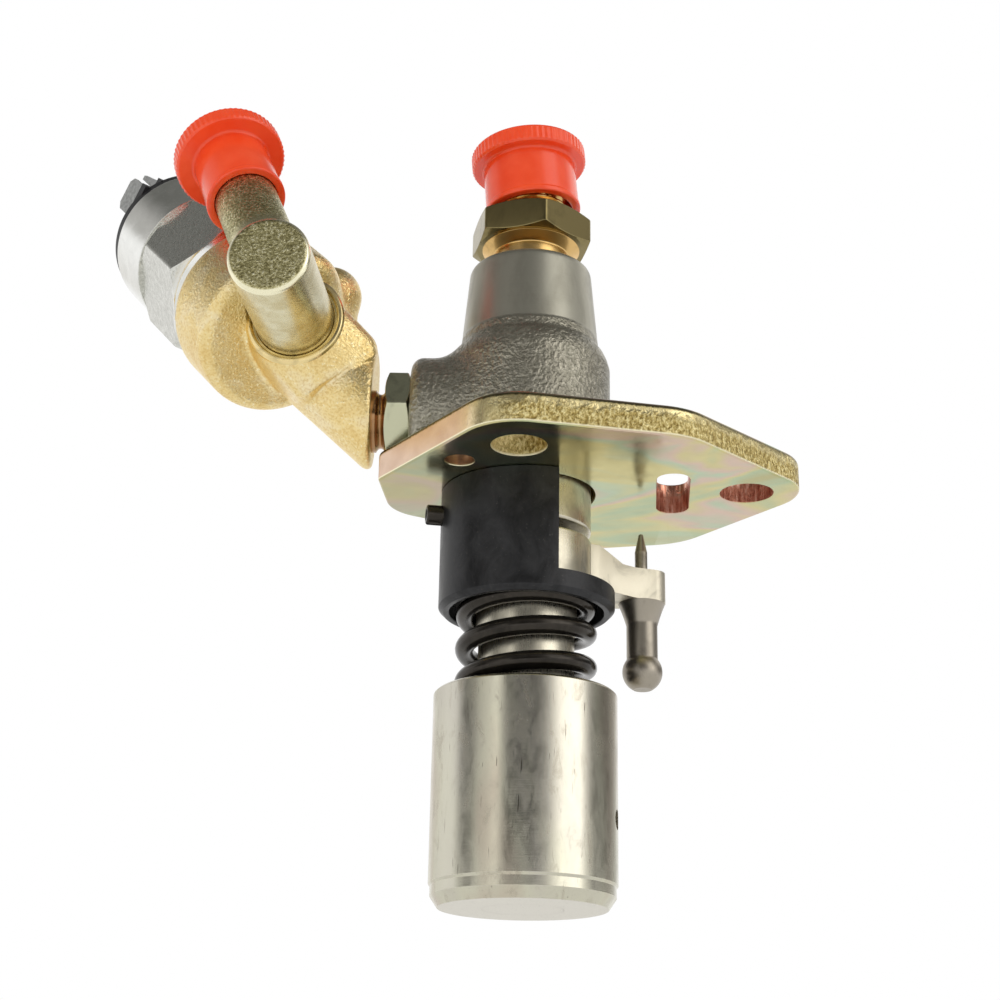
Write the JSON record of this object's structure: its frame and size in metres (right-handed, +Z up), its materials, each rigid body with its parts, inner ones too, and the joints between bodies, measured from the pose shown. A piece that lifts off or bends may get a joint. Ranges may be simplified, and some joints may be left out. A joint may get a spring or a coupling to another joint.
{
  "type": "diesel injection pump",
  "caption": "Flange-mounted diesel injection pump with a spring-return tappet, a governor arm, a capped delivery outlet and a solenoid fuel shut-off valve.",
  "frame": {"origin": "where the pump axis meets the underside of the mounting plate, which is the engine's flange face", "axes": "+Z up the pump axis to the delivery outlet; +X towards the mount hole beyond the control slot; the nearer mount hole is on -Y"},
  "size_m": [0.1172, 0.0603, 0.13],
  "materials": {
    "cast_steel": "machined above, cast below",
    "zinc_plate": "yellow zinc",
    "bright_steel": "ground",
    "ground_steel": "polished, fine turning marks",
    "dark_steel": "satin",
    "spring_steel": "blackened",
    "black_oxide": "black oxide",
    "gold_zinc": "yellow zinc",
    "cast_brass": "sand cast",
    "copper": "annealed copper",
    "nickel": "bright nickel",
    "seal_rubber": "dark red",
    "coil_copper": "enamelled winding",
    "black_plastic": "moulded",
    "tin_blade": "tinned",
    "red_plastic": "glossy"
  },
  "bodies": {
    "pump_body": {"pump_housing": "cast_steel", "mounting_plate": "zinc_plate", "pump_barrel": "bright_steel", "barrel_pin": "bright_steel", "delivery_seat": "bright_steel", "delivery_spring": "spring_steel", "holder_gasket": "copper", "valve_holder": "gold_zinc", "guide_sleeve": "black_oxide", "guide_roll_pin": "spring_steel", "upper_spring_seat": "black_oxide", "plunger_spring": "spring_steel", "inlet_stud": "gold_zinc", "inlet_locknut": "gold_zinc", "valve_casting": "cast_brass", "inlet_elbow": "gold_zinc", "solenoid_body": "nickel", "solenoid_seal": "seal_rubber", "solenoid_coil": "coil_copper", "solenoid_core": "bright_steel", "solenoid_end_cap": "black_plastic", "solenoid_terminals": "tin_blade"},
    "control": {"control_sleeve": "bright_steel", "control_arm": "bright_steel", "control_ball_pin": "dark_steel", "control_pointer_pin": "dark_steel"},
    "plunger": {"plunger": "bright_steel"},
    "tappet": {"tappet": "ground_steel", "tappet_shim": "bright_steel", "lower_spring_seat": "dark_steel"},
    "delivery_valve": {"delivery_valve": "bright_steel"},
    "armature": {"solenoid_armature": "bright_steel", "armature_spring": "spring_steel"},
    "outlet_cap": {"outlet_cap": "red_plastic"},
    "inlet_cap": {"inlet_cap": "red_plastic"}
  },
  "joints": [
    {"name": "tappet_slide", "type": "slide", "parent": "pump_body", "child": "tappet", "axis": [0, 0, 1], "range_m": [0, 0.008], "stiffness_N_per_m": 23000, "springref_m": -0.003, "deforming": ["plunger_spring"]},
    {"name": "control_turn", "type": "hinge", "parent": "pump_body", "child": "control", "pos_m": [0, 0, -0.012], "axis": [0, 0, 1], "range_deg": [-40, 10]},
    {"name": "plunger_slide", "type": "slide", "parent": "control", "child": "plunger", "axis": [0, 0, 1], "range_m": [0, 0.008]},
    {"name": "delivery_lift", "type": "slide", "parent": "pump_body", "child": "delivery_valve", "axis": [0, 0, 1], "range_m": [0, 0.0015], "stiffness_N_per_m": 2700, "springref_m": -0.001, "deforming": ["delivery_spring"]},
    {"name": "armature_lift", "type": "slide", "parent": "pump_body", "child": "armature", "axis": [-0.5623, 0.4769, 0.6756], "range_m": [0, 0.001], "stiffness_N_per_m": 800, "springref_m": -0.002},
    {"name": "outlet_cap_pull", "type": "slide", "parent": "pump_body", "child": "outlet_cap", "axis": [-0.0872, 0, 0.9962], "range_m": [0, 0.012]},
    {"name": "inlet_cap_pull", "type": "slide", "parent": "pump_body", "child": "inlet_cap", "axis": [-0.3667, 0.3616, 0.8572], "range_m": [0, 0.014]}
  ],
  "couplings": [
    {"joint": "plunger_slide", "follows": "tappet_slide", "ratio": 1}
  ]
}
